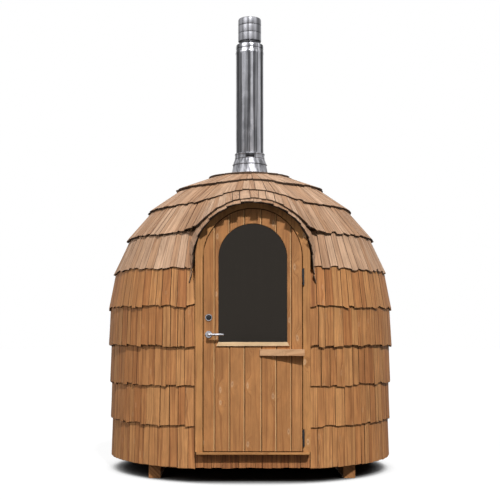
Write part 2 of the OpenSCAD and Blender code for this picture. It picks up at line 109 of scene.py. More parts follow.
DOME_R = dome_radius()
DOME_Z = WALL_TOP - DOME_R * sin(FIRST_STEP)
STEP = LAP / (DOME_R + SKIN_MIDDLE)
WALL_FOOT_R = DOME_R - WALL_FLARE
WALL_TOP_R = DOME_R * cos(FIRST_STEP)

# The canopy is an arch on an axis that slopes down to the front
TILT = radians(18.9)
SIN, COS = sin(TILT), cos(TILT)
DECK = 0.012
HOOD_OUT = ends("canopy_shingles", "x")[HIGH]
HOOD_DECK = FRAME_R + DECK
HOOD_REACH = AXIS_Y - ends("canopy_shingles", "y")[LOW] - HOOD_OUT * SIN
HOOD_Z = ARCH_Z + FRAME_R + DECK - HOOD_DECK / COS - (HOOD_REACH - FRAME_REACH) * SIN / COS
# Thickness of the canopy's skin under the next course; it is twice this at a lower edge
HOOD_SKIN = 0.009
# Run up the slope from the canopy's front to its second row, and from row to row
HOOD_EDGE, HOOD_LAP = 0.12, 0.5
# Depth of the canopy's sides below its axis, and how they bend outwards
HOOD_LEG, LEG_BEND = 0.165, 0.9
# How far the canopy's sides spread behind its front, and the run in which they do
SPREAD, SPREAD_RUN = 0.04, 0.18
# The canopy dips under the dome: depth, and the run up the slope in which it is reached
DIPS = ((0.25, 0.6, 1.0), (1.0, 1.0, 1.6))
# Rounding of the valley at the canopy's front, what it gains, and the courses in which it does
VALLEY, VALLEY_GAIN, VALLEY_COURSES = 0.02, 0.12, (1.7, 2.3)
# Height between the two skins over which the course lines turn from one to the other
TURNOVER = 0.25


# --- Shape of the skin -----------------------------------------------------------------------

def ramp(start, end, x):
    """Rises smoothly from 0 at start to 1 at end."""
    t = min(max((x - start) / (end - start), 0.0), 1.0)
    return t * t * (3 - 2 * t)


def between(a, b, share):
    return a + (b - a) * share


def world(p):
    """A place given as x, reach before the dome's axis and height."""
    return Vector((p[0], AXIS_Y - p[1], p[2]))


def facing(n):
    """A direction given as x, reach and height."""
    return Vector((n[0], -n[1], n[2])).normalized()


def wall_radius(z):
    share = (z - BEARER_TOP) / (WALL_TOP - BEARER_TOP)
    return WALL_FOOT_R + (WALL_TOP_R - WALL_FOOT_R) * share


def course_z(k):
    return SKIRT_Z if k == 0 else WALL_TOP - (WALL_COURSES - k) * LAP


def flare(run, lean):
    """How far the canopy's sides spread at a run up its slope.
    lean is 0 at its top and 1 at its sides."""
    return SPREAD * lean * lean * ramp(0.0, SPREAD_RUN, run)


def roof(p, butt):
    """Height over the roof's skin at p, and the course that p is in.
    butt is 1 at a course's lower edge and 0 at its head. The canopy runs into the dome."""
    x, reach, z = p
    across, up = hypot(x, reach), z - DOME_Z
    dome_gap = hypot(across, up) - DOME_R - HEAD * (1 + butt)
    dome_course = (atan2(up, across) - FIRST_STEP) / STEP
    run = (HOOD_REACH - reach) * COS + (z - HOOD_Z) * SIN
    over = (reach - HOOD_REACH) * SIN + (z - HOOD_Z) * COS
    out = hypot(x, over) if over > 0 else abs(x)
    dip = sum(depth * ramp(first, last, run) for depth, first, last in DIPS)
    hood_gap = out - HOOD_DECK - flare(run, x / out) - HOOD_SKIN * (1 + butt) + dip
    hood_course = 2 + (run - HOOD_EDGE) / HOOD_LAP
    blend = VALLEY + VALLEY_GAIN * ramp(*VALLEY_COURSES, (dome_course + hood_course) / 2)
    share = min(max(0.5 + 0.5 * (dome_gap - hood_gap) / blend, 0.0), 1.0)
    gap = between(dome_gap, hood_gap, share) - blend * share * (1 - share)
    follow = ramp(0, TURNOVER, dome_gap - hood_gap)
    return gap, dome_course + (hood_course - dome_course) * follow


# Step for measuring slopes, longest move at a time, and how near is near enough
NUDGE, STRIDE, GAP_DONE, COURSE_DONE = 1e-4, 0.03, 1e-5, 1e-4


def slopes(p, butt):
    """How the roof's two values grow at p, as two vectors."""
    grown = []
    for axis in range(3):
        ahead, behind = p.copy(), p.copy()
        ahead[axis] += NUDGE
        behind[axis] -= NUDGE
        grown.append([(a - b) / (2 * NUDGE) for a, b in zip(roof(ahead, butt), roof(behind, butt))])
    return Vector([g[0] for g in grown]), Vector([g[1] for g in grown])


def settle(p, butt, course, rounds=5):
    """Moves p to the nearest place on the skin that is at the given course."""
    p = p.copy()
    for _ in range(rounds):
        gap, at = roof(p, butt)
        miss = course - at
        if abs(gap) < GAP_DONE and abs(miss) < COURSE_DONE:
            break
        up, along = slopes(p, butt)
        a, b, c = up.dot(up), up.dot(along), along.dot(along)
        det = a * c - b * b
        move = (-gap * c - miss * b) / det * up + (miss * a + gap * b) / det * along
        if move.length > STRIDE:
            move *= STRIDE / move.length
        p += move
    return p


def course_line(course, step=0.01):
    """Lower edge of a course of the roof, from the back round the left to the front's middle."""
    a = FIRST_STEP + course * STEP
    r = DOME_R + BUTT
    p = settle(Vector((-1e-6, -r * cos(a), DOME_Z + r * sin(a))), 1, course)
    line, ahead = [p], Vector((-1, 0, 0))
    while not (p.y > 0 and p.x >= 0):
        up, along = slopes(p, 1)
        way = up.cross(along).normalized()
        if way.dot(ahead) < 0:
            way.negate()
        p, ahead = settle(p + way * step, 1, course, rounds=3), way
        line.append(p)
    return line


# --- Pieces ----------------------------------------------------------------------------------

# The one source of chance widths, gaps, ends and tones, so that each run gives the same boards
CHANCE = random.Random(7)
# Materials by name, filled by the operator for finishes
FINISH = {}
# Places nearer than this are the same
TINY = 1e-5


def moved(bm, way):
    bmesh.ops.translate(bm, verts=bm.verts, vec=way)


def scaled(bm, size):
    bmesh.ops.scale(bm, verts=bm.verts, vec=size)


def bevel(bm, edges, offset, segments=2, material=-1):
    """Cuts off or rounds edges. Its new faces take a finish by its number."""
    bmesh.ops.bevel(bm, geom=edges, offset=offset, segments=segments, profile=0.5,
                    affect="EDGES", material=material)


def pour(bm, whole):
    """Adds a bmesh to another one and frees it."""
    mesh = bpy.data.meshes.new("part")
    bm.to_mesh(mesh)
    bm.free()
    whole.from_mesh(mesh)
    bpy.data.meshes.remove(mesh)


def joined(pieces):
    """One bmesh of many."""
    whole = bmesh.new()
    for bm in pieces:
        pour(bm, whole)
    return whole


def finished(name, bm, finishes, body, replaced=(), smooth=False):
    """Makes a piece from a bmesh, gives it its finishes and puts it on its body."""
    mesh = bpy.data.meshes.new(name)
    bm.to_mesh(mesh)
    bm.free()
    if smooth:
        mesh.shade_smooth()
        mesh.set_sharp_from_angle(angle=radians(35))
    piece = bpy.data.objects.new(name, mesh)
    bpy.context.scene.collection.objects.link(piece)
    for finish in finishes:
        mesh.materials.append(FINISH[finish])
    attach(piece, body)
    if replaced:
        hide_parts(*replaced)
    return piece


def turned(profile, closed=True, steps=64, ease=0.0008):
    """A turned piece round the Z axis. The profile is a line of radii and heights."""
    bm = bmesh.new()
    verts = [bm.verts.new((r, 0, z)) for r, z in profile]
    for a, b in zip(verts, verts[1:] + verts[:1] if closed else verts[1:]):
        bm.edges.new((a, b))
    bmesh.ops.spin(bm, geom=bm.verts[:] + bm.edges[:], cent=(0, 0, 0), axis=(0, 0, 1),
                   angle=2 * pi, steps=steps, use_merge=True)
    bmesh.ops.remove_doubles(bm, verts=bm.verts, dist=1e-6)
    bmesh.ops.recalc_face_normals(bm, faces=bm.faces)
    if ease:
        bevel(bm, [e for e in bm.edges if len(e.link_faces) == 2 and e.calc_face_angle(0) > 0.5],
              ease)
    return bm


def block(low, high, ease):
    """A block between two corners, with softened edges."""
    low, high = Vector(low), Vector(high)
    bm = bmesh.new()
    bmesh.ops.create_cube(bm, size=1)
    scaled(bm, high - low)
    moved(bm, (low + high) / 2)
    bevel(bm, bm.edges[:], ease)
    return bm


# --- Boards ----------------------------------------------------------------------------------

# Usual width, length and thickness of a shingle, and the softening of its outer edges
WIDTH, LENGTH, THICKNESS = 0.085, 0.3, 0.014
SOFTENED = 0.0013


def plain_block():
    """A board of unit size, cut across and along, with softened outer edges: its mesh, and the
    places of its corners."""
    bm = bmesh.new()
    bmesh.ops.create_cube(bm, size=1)
    moved(bm, (0.5, 0.5, 0.5))
    for axis, cuts in ((1, 2), (0, 1)):
        lines = [e for e in bm.edges if abs((e.verts[0].co - e.verts[1].co)[axis]) > 0.5]
        bmesh.ops.subdivide_edges(bm, edges=lines, cuts=cuts, use_grid_fill=True)
    scaled(bm, (WIDTH, LENGTH, THICKNESS))
    sides = (lambda p: p.x < TINY, lambda p: p.x > WIDTH - TINY, lambda p: p.y < TINY)
    bevel(bm, [e for e in bm.edges if all(v.co.z > THICKNESS - TINY for v in e.verts)
               and any(all(side(v.co) for v in e.verts) for side in sides)], SOFTENED, 1)
    scaled(bm, (1 / WIDTH, 1 / LENGTH, 1 / THICKNESS))
    mesh = bpy.data.meshes.new("board")
    bm.to_mesh(mesh)
    places = [v.co.copy() for v in bm.verts]
    bm.free()
    return mesh, places


BLOCK, PLACES = plain_block()


class Board:
    """A board between four outer corners, each with its outward direction: left and right foot,
    left and right head."""

    def __init__(self, corners, outward, thick, jag, sink=0.003):
        self.corners = [c - n * CHANCE.uniform(0, sink) for c, n in zip(corners, outward)]
        self.outward = outward
        self.thick = thick
        slant = CHANCE.choice((-1, 1)) * CHANCE.uniform(0.3, 1) * jag
        ragged = [CHANCE.uniform(-jag, jag) + slant * side for side in (-1, 0, 1)]
        longer = CHANCE.uniform(-jag, jag)
        self.jag = [longer + 0.5 * r for r in ragged]
        self.tone = CHANCE.random()
        self.shift = (CHANCE.uniform(0, 9), CHANCE.uniform(0, 9))
        left, right, left_head, right_head = corners
        self.widths = ((right - left).length, (right_head - left_head).length)
        self.length = ((left_head + right_head) / 2 - (left + right) / 2).length

    def place(self, u, v, w):
        """The place at a share across, along and through the board."""
        foot, head = between(*self.corners[:2], u), between(*self.corners[2:], u)
        n = between(between(*self.outward[:2], u), between(*self.outward[2:], u), v).normalized()
        left, middle, right = self.jag
        jag = between(left, middle, 2 * u) if u < 0.5 else between(middle, right, 2 * u - 1)
        drop = (foot - head).normalized() * jag * max(0.0, 1 - 3 * v)
        return between(foot, head, v) + drop - n * (1 - w) * between(*self.thick, v)

    def grain(self, u, v, w):
        """The same place on the board's grain, in metres."""
        return ((u - 0.5) * between(*self.widths, v) + w * THICKNESS + self.shift[0],
                v * self.length + self.shift[1])


def lay(name, boards, finish, replaced=()):
    """One object of many boards, on the cabin."""
    bm = bmesh.new()
    for _ in boards:
        bm.from_mesh(BLOCK)
    grain = bm.loops.layers.uv.new("grain")
    tone = bm.verts.layers.float.new("tone")
    shade = bm.verts.layers.float.new("shade")
    bm.verts.ensure_lookup_table()
    bm.verts.index_update()
    count = len(PLACES)
    for i, board in enumerate(boards):
        for j, (u, v, w) in enumerate(PLACES):
            vert = bm.verts[i * count + j]
            vert.co = board.place(u, v, w)
            vert[tone] = board.tone
            # The lower end and the sides of each shingle are marked for painted shade.
            vert[shade] = float(w < 0.95 and (v < 0.02 or not 0.02 < u < 0.98))
    for face in bm.faces:
        for loop in face.loops:
            i, j = divmod(loop.vert.index, count)
            loop[grain].uv = boards[i].grain(*PLACES[j])
    return finished(name, bm, [finish], "cabin", replaced)


def cut_row(total, breaks=()):
    """Places that cut a length into boards of chance widths, with the given breaks kept."""
    size = bpy.context.scene.sauna_skin
    cuts, at = [0.0], 0.0
    for stop in sorted(breaks) + [total]:
        while stop - at > size.wide * 1.3:
            at += CHANCE.uniform(size.narrow, size.wide)
            cuts.append(at)
        if stop - at > size.wide:
            cuts.append((at + stop) / 2)
        at = stop
        cuts.append(stop)
    return cuts


def centred_row(half):
    """Left and right side of each board in a row from -half to half."""
    cuts = [c - half for c in cut_row(2 * half)]
    return zip(cuts, cuts[1:])


def chance_gap():
    """Half a gap between neighbours: mostly narrow, now and then wide."""
    return (0.12 + 0.88 * CHANCE.random() ** 3) * bpy.context.scene.sauna_skin.gap / 2


# --- Finishes --------------------------------------------------------------------------------

class Flow:
    """A value, colour or vector that changes over a surface. Sums and products add nodes."""

    def __init__(self, tree, socket):
        self.tree, self.socket = tree, socket

    def __add__(self, other):
        return calc("ADD", self, other)

    def __sub__(self, other):
        return calc("SUBTRACT", self, other)

    def __rsub__(self, other):
        return calc("SUBTRACT", other, self)

    def __mul__(self, other):
        return calc("MULTIPLY", self, other)


class Outputs:
    """The outputs of a node, each as a flow."""

    def __init__(self, tree, node):
        self.tree, self.node = tree, node

    def __getitem__(self, key):
        return Flow(self.tree, self.node.outputs[key])


def feed(tree, node, inputs):
    """Links or sets a node's inputs."""
    for key, value in dict(inputs).items():
        if isinstance(value, Flow):
            tree.links.new(value.socket, node.inputs[key])
        else:
            node.inputs[key].default_value = value


def add(tree, kind, inputs=(), **settings):
    """Adds a shader node, sets its settings, feeds its inputs and gives its outputs."""
    node = tree.nodes.new("ShaderNode" + kind)
    for key, value in settings.items():
        setattr(node, key, value)
    feed(tree, node, inputs)
    return Outputs(tree, node)


def tree_of(values):
    return next(value.tree for value in values if isinstance(value, Flow))


def calc(operation, *values):
    return add(tree_of(values), "Math", enumerate(values), operation=operation)[0]


def vector_calc(operation, *values):
    return add(tree_of(values), "VectorMath", enumerate(values), operation=operation)


def parts_of(vector):
    return add(vector.tree, "SeparateXYZ", {0: vector})


def vector_of(tree, **parts):
    return add(tree, "CombineXYZ", parts)[0]


def remap(value, low, high, to_low=0.0, to_high=1.0):
    """A smooth step of a value from low to high."""
    return add(value.tree, "MapRange", {"Value": value, "From Min": low, "From Max": high,
               "To Min": to_low, "To Max": to_high}, interpolation_type="SMOOTHSTEP")["Result"]


def mix(factor, a, b, blend="MIX"):
    return add(tree_of((factor, a, b)), "Mix", {0: factor, 6: a, 7: b}, data_type="RGBA",
               blend_type=blend)[2]


def grey(value, blue=1.0):
    """A grey of the given value, with its blue made stronger."""
    return add(value.tree, "CombineColor",
               {0: value, 1: value, 2: value if blue == 1.0 else value * blue})[0]


def noise(vector, scale, detail=2.0, rough=0.6):
    return add(vector.tree, "TexNoise", {
        "Vector": vector_calc("MULTIPLY", vector, scale)[0], "Scale": 1.0, "Detail": detail,
        "Roughness": rough, "Distortion": 0.0})["Fac"]


def new_group(name, inputs, outputs):
    """An empty group. A socket has a name, a kind (Vector, Float or Color) and its default."""
    tree = bpy.data.node_groups.new(name, "ShaderNodeTree")
    for side, sockets in (("INPUT", inputs), ("OUTPUT", outputs)):
        for title, kind, *default in sockets:
            kind = "NodeSocket" + kind
            socket = tree.interface.new_socket(title, in_out=side, socket_type=kind)
            if default:
                socket.default_value = default[0]
    given = Outputs(tree, tree.nodes.new("NodeGroupInput"))
    return tree, given, tree.nodes.new("NodeGroupOutput")


def rgb(red, green, blue):
    """A colour as written on a screen, made linear."""
    return tuple(((c / 255 + 0.055) / 1.055) ** 2.4 for c in (red, green, blue)) + (1.0,)


# How grain and bands are stretched across and along a board, as steps in a metre
KNOT_CELLS, KNOT_ROUGHNESS = (9.5, 4.2, 1.0), (60.0, 40.0, 1.0)
WANDER, CLOUD = (5.0, 1.6, 1.0), (14.0, 5.0, 1.0)
BANDS, STRIPES, FIBRES = (75.0, 1.3, 1.0), (240.0, 2.4, 1.0), (900.0, 26.0, 1.0)
SAP = (1.0, 0.85, 0.6, 1.0)


def wood_grain():
    """Grain of a softwood board: X runs across it and Y along it, in metres."""
    tree, given, out = new_group(
        "wood_grain",
        [("Vector", "Vector"), ("Tone", "Float", 0.5), ("Light", "Color"), ("Middle", "Color"),
         ("Deep", "Color"), ("Knots", "Float", 1.0), ("Contrast", "Float", 1.0)],
        [("Color", "Color"), ("Roughness", "Float"), ("Height", "Float")])
    tone = given["Tone"]
    far = vector_of(tree, X=tone * 3.7, Y=tone * 5.3, Z=tone * 31.0)
    place = vector_calc("ADD", given["Vector"], far)[0]
    # Knots are rare, and the grain flows round them in pale eyes
    cells = add(tree, "TexVoronoi", {"Vector": vector_calc("MULTIPLY", place, KNOT_CELLS)[0],
                                     "Scale": 1.0}, voronoi_dimensions="2D")
    chosen = given["Knots"] * calc("GREATER_THAN", parts_of(cells["Color"])[0], 0.6)
    reach = cells["Distance"] + noise(place, KNOT_ROUGHNESS, 1.0, 0.5) * 0.1
    swirl, eye, knot = (remap(reach, *limits) * chosen
                        for limits in ((0.5, 0.05), (0.17, 0.11), (0.1, 0.07)))
    aside = noise(place, WANDER, 1.0, 0.5) * 0.05 + swirl * 0.05
    bent = vector_calc("ADD", place, vector_of(tree, X=aside))[0]
    bands, stripes, fibres = noise(bent, BANDS, 3.0), noise(bent, STRIPES), noise(bent, FIBRES)
    body = mix(tone, given["Light"], given["Middle"])
    for pattern, first, last, strength, colour in (
            (bands, 0.46, 0.66, 0.7, "Deep"), (bands, 0.46, 0.3, 0.55, "Light"),
            (stripes, 0.5, 0.7, 0.4, "Deep")):
        share = remap(pattern, first, last) * given["Contrast"] * strength
        body = mix(share, body, given[colour])
    body = mix(eye * 0.6, body, mix(0.3, given["Light"], SAP))
    cloud = remap(noise(place, CLOUD, 3.0), 0.35, 0.7, 0.86, 1.1)
    body = mix(1.0, body, grey(remap(fibres, 0.3, 0.7, 0.9, 1.08) * cloud), "MULTIPLY")
    feed(tree, out, {"Color": mix(knot * 0.7, body, given["Deep"]),
                     "Roughness": remap(fibres, 0.25, 0.75, 0.55, 0.75),
                     "Height": fibres * 0.45 + bands * 0.55})
    return tree


def board_joints():
    """Joints between equal boards: a mask that is 1 in a joint, and a chance tone for each."""
    tree, given, out = new_group(
        "board_joints",
        [("Across", "Float", 0.0), ("Width", "Float", 0.1), ("Joint", "Float", 0.003)],
        [("Joint", "Float"), ("Tone", "Float")])
    count = calc("DIVIDE", given["Across"], given["Width"])
    part = calc("FRACT", count)
    near = calc("MINIMUM", part, 1.0 - part) * given["Width"]
    chance = add(tree, "TexWhiteNoise", {"W": calc("FLOOR", count)}, noise_dimensions="1D")
    feed(tree, out, {"Joint": calc("LESS_THAN", near, given["Joint"] * 0.5),
                     "Tone": chance["Value"]})
    return tree


def steel_streaks_painted_reflection():
    """Streaks, smudges and height on an upright round piece, from a place in metres. The streaks
    are partly marks of rolled and handled steel and partly painted reflection bands; the smudges
    vary the roughness.
    """
    tree, given, out = new_group("steel_streaks_painted_reflection", [("Vector", "Vector")], [
        ("Streak", "Float"), ("Smudge", "Float"), ("Height", "Float")])
    streak = noise(given["Vector"], (38.0, 38.0, 0.35), 3.0, 0.7)
    smudge = noise(given["Vector"], (14.0, 14.0, 9.0), 4.0, 0.65)
    feed(tree, out, {"Streak": streak, "Smudge": smudge, "Height": streak})
    return tree


GROUPS = {}


def use(tree, group, inputs):
    """Places a shared group of nodes in a material, and makes it at its first use."""
    if group not in GROUPS:
        GROUPS[group] = group()
    return add(tree, "Group", inputs, node_tree=GROUPS[group])


def new_finish(name, **plain):
    """A material with one Principled shader, and the sockets that are the same all over."""
    made = bpy.data.materials.new(name)
    made.use_nodes = True
    shader = made.node_tree.nodes["Principled BSDF"]
    for key, value in plain.items():
        shader.inputs[key.replace("_", " ")].default_value = value
    return made, made.node_tree, shader


def bump(height, distance, **normal):
    inputs = {"Height": height, "Distance": distance, **normal}
    return add(height.tree, "Bump", inputs)["Normal"]


def object_place(tree):
    return add(tree, "TexCoord")["Object"]


def attribute(tree, name):
    return add(tree, "Attribute", attribute_name=name)["Fac"]


# Colour of a dark joint between equal boards, and of the painted shade on the shingles' lower ends
# and sides
JOINT_SHADE, PAINTED_END_SHADE = (0.02, 0.01, 0.005, 1.0), (0.015, 0.008, 0.004, 1.0)
EASED_EDGE = 0.003


def wood(name, tones, lie="uv", tone=None, knots=1.0, contrast=1.0, relief=0.0006, joint=0.0,
         eased_and_highlit=False):
    """A board material. lie is "uv", "round" for upright boards round the axis, or the axes
    across, along and through a member. Boards of the width joint are marked where it is given.
    The edge flag rounds the edges and lightens them as a painted highlight, and "uv" boards get
    painted shade at their lower ends and sides."""
    made, tree, shader = new_finish(name, IOR=1.5, Specular_IOR_Level=0.3)
    if lie == "uv":
        place = add(tree, "UVMap", uv_map="grain")[0]
    else:
        parts = parts_of(object_place(tree))
        if lie == "round":
            across = calc("ARCTAN2", parts[0], parts[1] - AXIS_Y) * WALL_FOOT_R
            along = parts[2]
        else:
            across, along, through = (parts["XYZ".index(letter)] for letter in lie)
            across = across + through
        place = vector_of(tree, X=across, Y=along)
    if joint:
        joints = use(tree, board_joints, {"Across": across, "Width": joint})
        tone = joints["Tone"]
    elif tone is None:
        tone = attribute(tree, "tone")
    grain = use(tree, wood_grain, {"Vector": place, "Tone": tone, "Knots": knots,
                                   "Contrast": contrast, **tones})
    colour, height, normal = grain["Color"], grain["Height"], {}
    if joint:
        colour = mix(joints["Joint"] * 0.8, colour, JOINT_SHADE)
        height = height - joints["Joint"]
    if lie == "uv":
        # Painted shade on the lower ends and sides of the shingles, where the shadow under each
        # course and in the gaps between them falls.
        colour = mix(attribute(tree, "shade") * 0.9, colour, PAINTED_END_SHADE)
    elif eased_and_highlit:
        normal["Normal"] = add(tree, "Bevel", {"Radius": EASED_EDGE}, samples=6)[0]
        flat = add(tree, "NewGeometry")["Normal"]
        same = vector_calc("DOT_PRODUCT", normal["Normal"], flat)["Value"]
        # Painted highlight: the rounded edges are lightened towards the light tone.
        colour = mix(remap(same, 0.99, 0.9) * 0.6, colour, tones["Light"])
    feed(tree, shader, {"Base Color": colour, "Roughness": grain["Roughness"],
                        "Normal": bump(height, relief, **normal)})
    return made


# Where a painted dark reflection darkens the pipe's outer skin towards its sides, as seen from the
# front: inner start and end, outer end and start
PAINTED_DARK_SIDES = (0.084, 0.094, 0.111, 0.104)


def steel(name, value, rough, streaks=0.25, edges=0.0):
    """A metal. streaks is how strong its streaks are, which are partly brushed marks and partly a
    painted reflection. edges is how strong the painted dark reflection is towards the chimney's
    sides."""
    made, tree, shader = new_finish(name, Metallic=1.0)
    place = object_place(tree)
    marks = use(tree, steel_streaks_painted_reflection, {"Vector": place})
    # Streaks in the base colour: partly brushed marks, partly painted reflection bands.
    value = remap(marks["Streak"], 0.41, 0.59, value * (1 - streaks), value * (1 + 0.75 * streaks))
    # Painted dark reflection towards the chimney's sides, as seen from the front
    if edges:
        aside = calc("ABSOLUTE", parts_of(place)[0])
        band = remap(aside, *PAINTED_DARK_SIDES[:2]) * remap(aside, *PAINTED_DARK_SIDES[2:])
        value = value * (1.0 - band * edges)
    feed(tree, shader, {
        "Base Color": grey(value, 1.07), "Normal": bump(marks["Height"], 0.0001),
        "Roughness": remap(marks["Smudge"], 0.35, 0.7, rough * 0.8, rough * 1.3)})
    return made


def glass():
    made, tree, shader = new_finish(
        "tinted_glass", Metallic=0.0, Transmission_Weight=1.0, IOR=1.45, Specular_IOR_Level=0.08,
        Specular_Tint=(1.0, 0.87, 0.74, 1.0))
    film = noise(object_place(tree), (3.0, 3.0, 2.0), 3.0, 0.5)
    tint = mix(remap(film, 0.3, 0.7), (0.03, 0.023, 0.018, 1.0), (0.045, 0.036, 0.029, 1.0))
    feed(tree, shader, {"Base Color": tint, "Roughness": remap(film, 0.3, 0.7, 0.04, 0.09)})
    return made


# Light, middle and deep tone of each wood as seen on a screen, and how its boards lie and look
PLANK = ((190, 138, 84), (172, 116, 66), (128, 76, 38))
WOODS = {
    "shingle": ((202, 146, 92), (176, 116, 68), (116, 66, 34), dict(knots=0.25, contrast=0.8)),
    # Paler and greyer than the wall's shingles: partly a painted sheen from the sky, and partly
    # sun-bleached wood
    "roof_shingle_painted_sheen": ((208, 172, 142), (178, 136, 102), (122, 78, 48),
                     dict(knots=0.4, contrast=0.75, relief=0.0012)),
    "front_shingle": ((168, 112, 66), (142, 88, 48), (98, 54, 26), dict(knots=0.3)),
    "door_board": ((180, 126, 76), (168, 114, 66), (120, 70, 34),
                   dict(lie="XZY", knots=0.8, contrast=0.6)),
    # Painted highlight and painted shade for the sides of the door's joints that face the key lamp
    # and that face away from it
    "painted_lit_edge": ((232, 190, 138), (224, 178, 124), (190, 138, 86),
                  dict(lie="XZY", tone=0.3, knots=0.0)),
    "painted_shaded_edge": ((132, 88, 50), (116, 74, 40), (84, 52, 28), dict(lie="XZY", tone=0.3, knots=0.0)),
    "frame_board": (*PLANK, dict(lie="XZY", tone=0.4, contrast=0.7, eased_and_highlit=True)),
    "sill_board": (*PLANK, dict(lie="ZXY", tone=0.4, contrast=0.8, eased_and_highlit=True)),
    "stop_board": ((202, 160, 121), (186, 139, 98), (154, 106, 67),
                   dict(lie="ZXY", tone=0.3, contrast=0.8, eased_and_highlit=True)),
    "bearer_board": ((188, 134, 84), (160, 106, 60), (108, 66, 36),
                     dict(lie="XYZ", tone=0.6, eased_and_highlit=True)),
    "deck_board": ((176, 126, 82), (148, 98, 58), (104, 62, 34), {}),
    "pale_strip": ((222, 192, 152), (212, 176, 132), (186, 143, 97),
                   dict(lie="ZXY", tone=0.3, knots=0.0, contrast=0.5, eased_and_highlit=True)),
    "inside_board": ((216, 176, 130), (196, 150, 102), (150, 104, 64),
                     dict(lie="round", joint=0.095)),
    "floor_board": ((210, 172, 126), (188, 144, 98), (146, 102, 62), dict(lie="XYZ", joint=0.12)),
    "passage_board": ((206, 160, 110), (186, 138, 90), (140, 94, 54), dict(lie="XYZ", tone=0.4)),
}
# Brightness and roughness of each metal, its streaks (partly painted reflection), and how strong
# the painted dark reflection on its sides is
METALS = {
    "dark_steel": (0.05, 0.45), "bright_steel": (0.5, 0.22), "lock_steel": (0.04, 0.35),
    "clip_steel": (0.03, 0.5), "liner_steel": (0.3, 0.5), "flue_steel": (0.26, 0.5, 0.5),
    "pipe_steel": (0.46, 0.36, 0.7, 0.8),
}
TONES = ("Light", "Middle", "Deep")

# The CAD nodes that keep their shape, by finish
KEPT = {
    "bearer_board": ["bearers", "floor_joists", "ring_beam"],
    "floor_board": ["floor_deck"],
    "inside_board": ["crown_ring", "dome_panel_front"] + [
        f"{shell}_panel_{number}" for shell in ("wall", "dome") for number in range(1, 8)],
    "frame_board": ["jamb_left", "jamb_right", "frame_head"],
    "passage_board": ["passage_lining"], "sill_board": ["door_sill"],
    "stop_board": ["door_stop"], "pale_strip": ["glass_strip"], "tinted_glass": ["door_glass"],
    "dark_steel": ["hinges_frame", "hinges_door"], "bright_steel": ["door_lever"],
    "liner_steel": ["flue_liner"],
}


# --- Sizes and colours that a user would change ----------------------------------------------

def metres(name, description, default):
    return FloatProperty(name=name, description=description, default=default, unit="LENGTH")


def amount(name, description, default):
    return FloatProperty(name=name, description=description, default=default)


def tone_of(wood_name, tone, colour):
    title = wood_name.replace("_", " ").capitalize()
    return FloatVectorProperty(name=f"{title}, {tone.lower()}", size=4, min=0.0, max=1.0,
                               description=f"{tone} tone of this finish", default=rgb(*colour),
                               subtype="COLOR")


class SaunaSkinSizes(bpy.types.PropertyGroup):
    narrow: metres("Narrowest board", "Width of the narrowest shingle", 0.045)
    wide: metres("Widest board", "Width of the widest shingle", 0.092)
    gap: metres("Gap", "Widest gap between neighbouring shingles", 0.008)
    butt: metres("Lower edge", "Thickness of a shingle at its lower edge", 0.017)
    head: metres("Upper edge", "Thickness of a shingle at its upper edge", 0.008)
    jag: metres("Jag", "How much the lower edges differ in length", 0.012)


class SaunaDoorSizes(bpy.types.PropertyGroup):
    stile: metres("Stile", "Width of the leaf beside the glass", 0.1055)
    vee: metres("Joint", "Depth of the joint between two door boards", 0.0052)
    cladding: metres("Cladding", "Thickness of the boards on each face", 0.012)


class SaunaLight(bpy.types.PropertyGroup):
    sun: amount("Key lamp", "Strength of the key lamp", 3.3)
    side: amount("Side lamp", "Strength of the soft lamp from the left", 0.8)
    sky: amount("Fill", "Strength of the fill from all sides", 0.1)


class SaunaColours(bpy.types.PropertyGroup):
    """Light, middle and deep tone of each wood"""
    __annotations__ = {f"{name}_{tone.lower()}": tone_of(name, tone, colour)
                       for name, look in WOODS.items() for tone, colour in zip(TONES, look)}


# --- Wall, roof and canopy -------------------------------------------------------------------

def ring_row(foot, head, rough=1.0):
    """Boards round the dome's axis, from the door's right side to its left side. foot and head
    each hold a radius, a height, half the width left free for the door, and how steeply the
    outward direction rises. rough is the share of the usual jag."""
    size = bpy.context.scene.sauna_skin
    boards = []
    total = foot[0] * (2 * pi - 2 * asin(foot[2] / foot[0]))
    cuts = cut_row(total)
    for left, right in zip(cuts, cuts[1:]):
        gap = chance_gap() / total
        corners, outward = [], []
        for r, z, x, rise in (foot, head):
            start = asin(x / r)
            for share in (left / total + gap, right / total - gap):
                a = start + share * (2 * pi - 2 * start)
                corners.append(world((r * sin(a), r * cos(a), z)))
                outward.append(facing((cos(rise) * sin(a), cos(rise) * cos(a),
                                       sin(rise))))
        boards.append(Board(corners, outward, (size.butt, size.head), size.jag * rough))
    return boards


class SAUNA_OT_wall_boards(bpy.types.Operator):
    """Shingles of the wall, in four courses"""
    bl_idname = "sauna.wall_boards"
    bl_label = "Wall boards"

    def execute(self, context):
        door = FRAME_R + 0.0015
        for k in range(WALL_COURSES):
            foot_z, head_z = course_z(k), course_z(k + 1)
            kick = WAIST_KICK if k == WALL_COURSES - 1 else 0
            foot_r, head_r = wall_radius(foot_z) + BUTT + kick, wall_radius(head_z) + HEAD
            top = between(foot_r, head_r, 1 + TUCK), between(foot_z, head_z, 1 + TUCK), door, 0.0
            # The lowest course is cut nearly level
            boards = ring_row((foot_r, foot_z, door, 0.0), top, 0.7 if k else 0.2)
            lay(f"wall_course_{k + 1}", boards, "shingle",
                () if k else ("wall_shingles",))
        return {"FINISHED"}


def dome_point(radius, course):
    a = FIRST_STEP + course * STEP
    return radius * cos(a), DOME_Z + radius * sin(a)


# Half the width left free for the door at foot and head of the dome's two lowest courses
DOOR_SIDES = ((FRAME_R + 0.002, FRAME_R + 0.004), (HOOD_OUT + 0.002, HOOD_OUT - 0.02))
